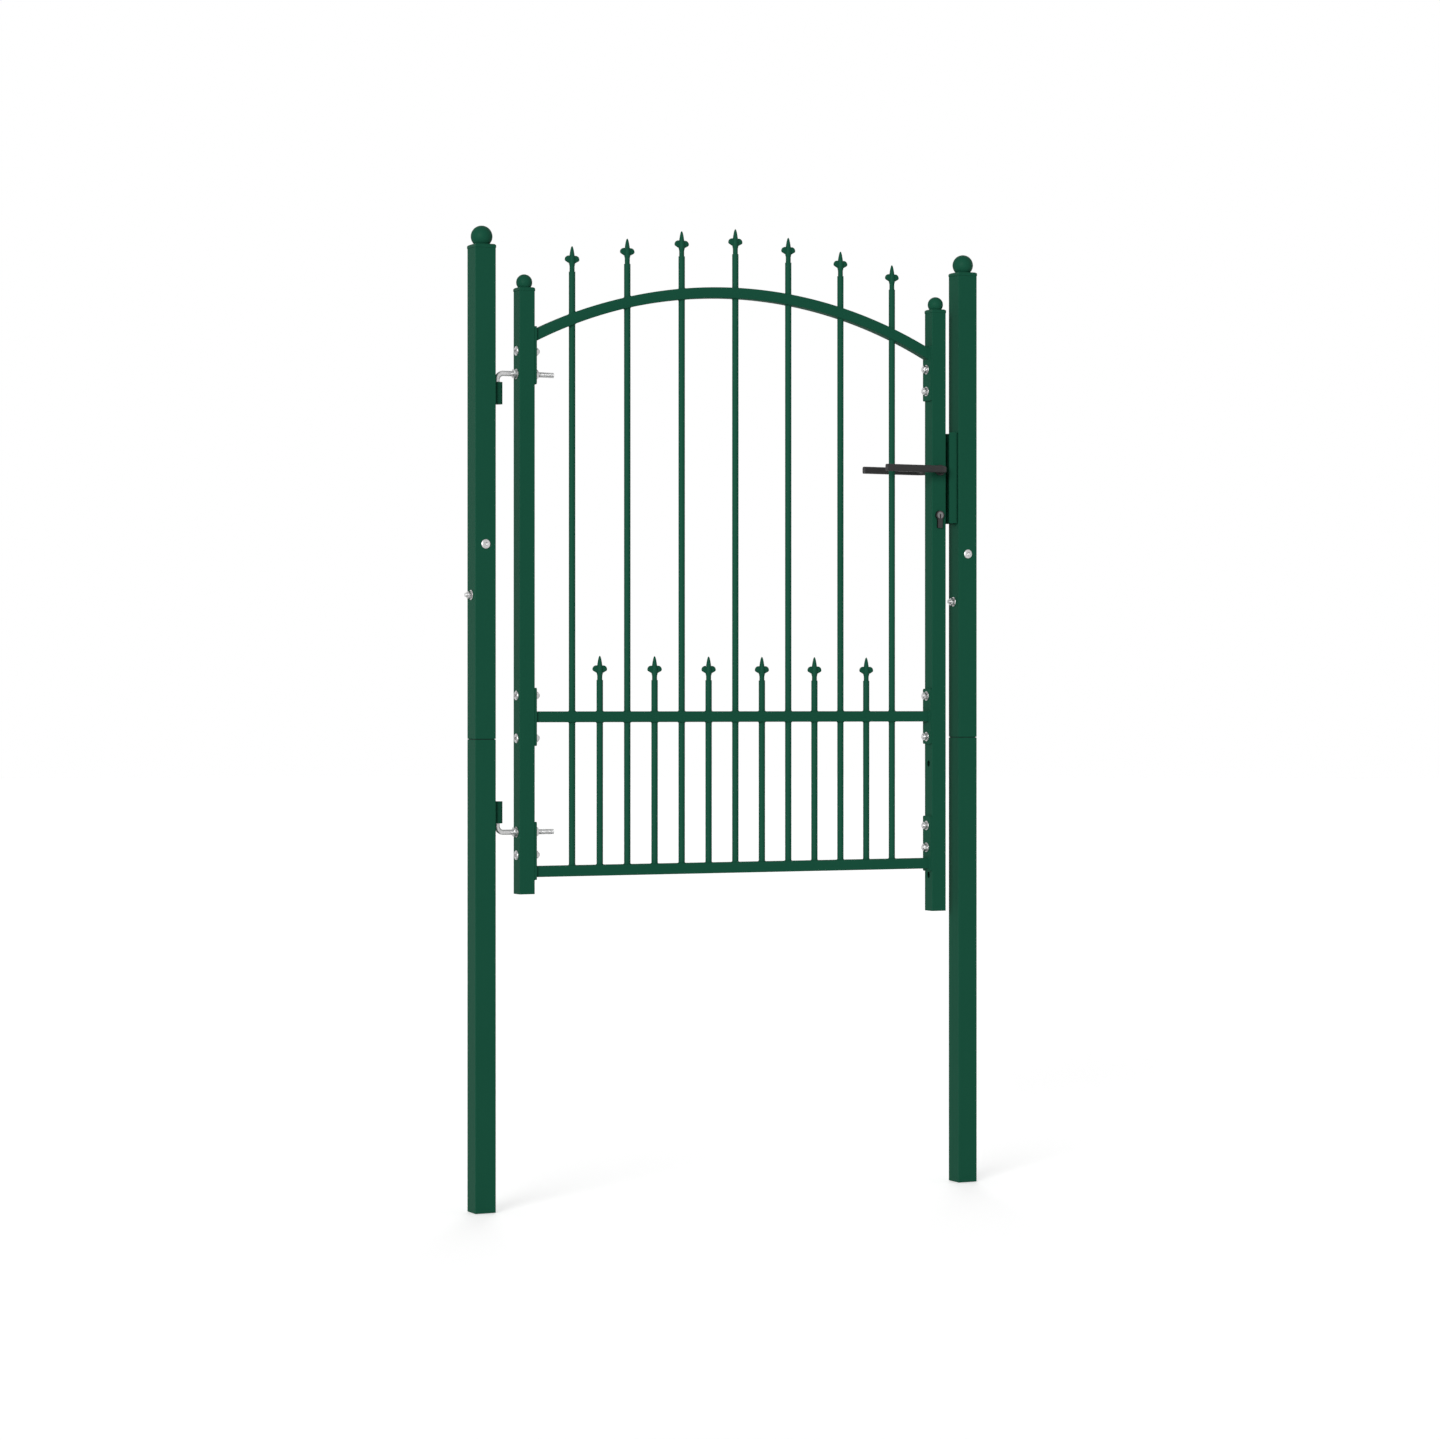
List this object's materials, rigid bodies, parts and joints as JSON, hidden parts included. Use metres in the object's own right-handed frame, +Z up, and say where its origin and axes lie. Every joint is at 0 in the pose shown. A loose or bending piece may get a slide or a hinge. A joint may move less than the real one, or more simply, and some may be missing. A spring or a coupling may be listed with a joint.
{
  "type": "spiked fence gate",
  "caption": "Arched steel garden gate with spear-topped round bars, hung on L-bolt hinges between two square ball-capped posts, with a lever lock and a channel keeper.",
  "frame": {"origin": "centre of the hinge post's foot, on the plane of its cut end", "axes": "+X from the hinge post to the latch post, +Y away from the front, +Z up along the posts"},
  "size_m": [1.0549, 0.104, 1.812],
  "materials": {
    "green_coat": "satin dark green powder coat on steel tube",
    "green_cap": "satin dark green moulded cap",
    "zinc": "bright zinc-plated steel",
    "cylinder_metal": "dark satin nickel",
    "lever_black": "black satin coat on a cast lever",
    "primed_steel": "dark primer on steel tube"
  },
  "bodies": {
    "posts": {"hinge_post_lower": "green_coat", "hinge_post_upper": "green_coat", "hinge_post_sleeve": "primed_steel", "hinge_post_cap": "green_cap", "latch_post_lower": "green_coat", "latch_post_upper": "green_coat", "latch_post_sleeve": "primed_steel", "latch_post_cap": "green_cap", "hinge_post_bolts": "zinc", "latch_post_bolts": "zinc", "upper_hinge_barrel": "green_coat", "lower_hinge_barrel": "green_coat", "latch_keeper": "green_coat"},
    "leaf": {"hinge_stile": "green_coat", "latch_stile": "green_coat", "hinge_stile_cap": "green_cap", "latch_stile_cap": "green_cap", "arch_rail": "green_coat", "middle_rail": "green_coat", "bottom_rail": "green_coat", "tall_bars": "green_coat", "short_bars": "green_coat", "tall_spears": "green_coat", "short_spears": "green_coat", "arch_hinge_plate": "green_coat", "arch_latch_plate": "green_coat", "middle_hinge_plate": "green_coat", "middle_latch_plate": "green_coat", "bottom_hinge_plate": "green_coat", "bottom_latch_plate": "green_coat", "upper_hinge_bolt": "zinc", "lower_hinge_bolt": "zinc", "lock_case": "zinc", "lock_face_plate": "zinc", "latch_tongue": "zinc", "dead_bolt": "zinc", "key_cylinder": "cylinder_metal"},
    "levers": {"front_lever": "lever_black", "back_lever": "lever_black", "lever_spindle": "zinc"}
  },
  "joints": [
    {"name": "leaf_swing", "type": "hinge", "parent": "posts", "child": "leaf", "pos_m": [0.03, 0, 0], "axis": [0, 0, 1], "range_deg": [-100, 100]},
    {"name": "lever_turn", "type": "hinge", "parent": "leaf", "child": "levers", "pos_m": [0.9395, 0, 1.371], "axis": [0, -1, 0], "range_deg": [0, 42], "stiffness_Nm_per_rad": 1, "springref_deg": -34.38}
  ]
}
